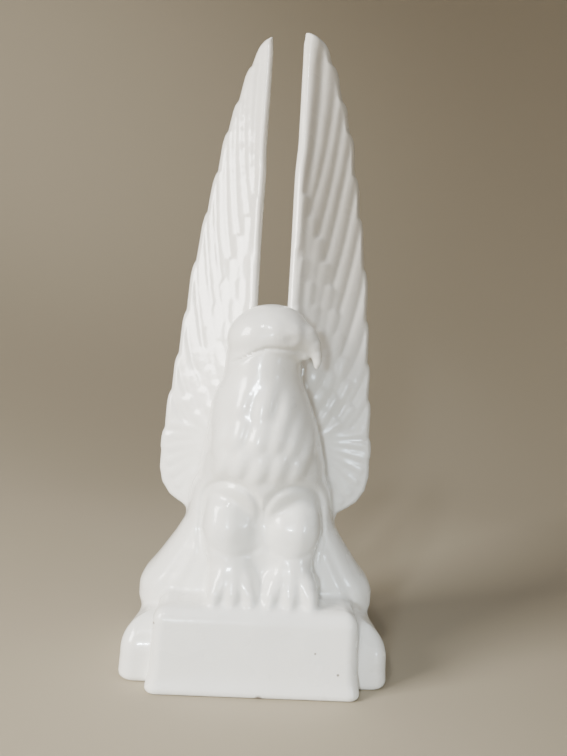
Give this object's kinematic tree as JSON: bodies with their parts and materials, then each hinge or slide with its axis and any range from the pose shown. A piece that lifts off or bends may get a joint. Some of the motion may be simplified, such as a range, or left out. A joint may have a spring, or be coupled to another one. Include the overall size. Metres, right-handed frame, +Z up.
{
  "type": "eagle figurine",
  "caption": "White glazed pottery eagle with tall raised wings, head turned to one side, perched on a stepped plinth, cast in one piece.",
  "frame": {"origin": "centre of the underside of the plinth, at the middle of the part's width and depth", "axes": "+Z up along the wings, the eagle faces -Y, +X to the right of a viewer who looks at its front"},
  "size_m": [0.118, 0.0794, 0.2996],
  "materials": {
    "white_glaze": "thick glossy white pottery glaze"
  },
  "bodies": {
    "root": {"eagle_figurine": "white_glaze"}
  },
  "joints": []
}
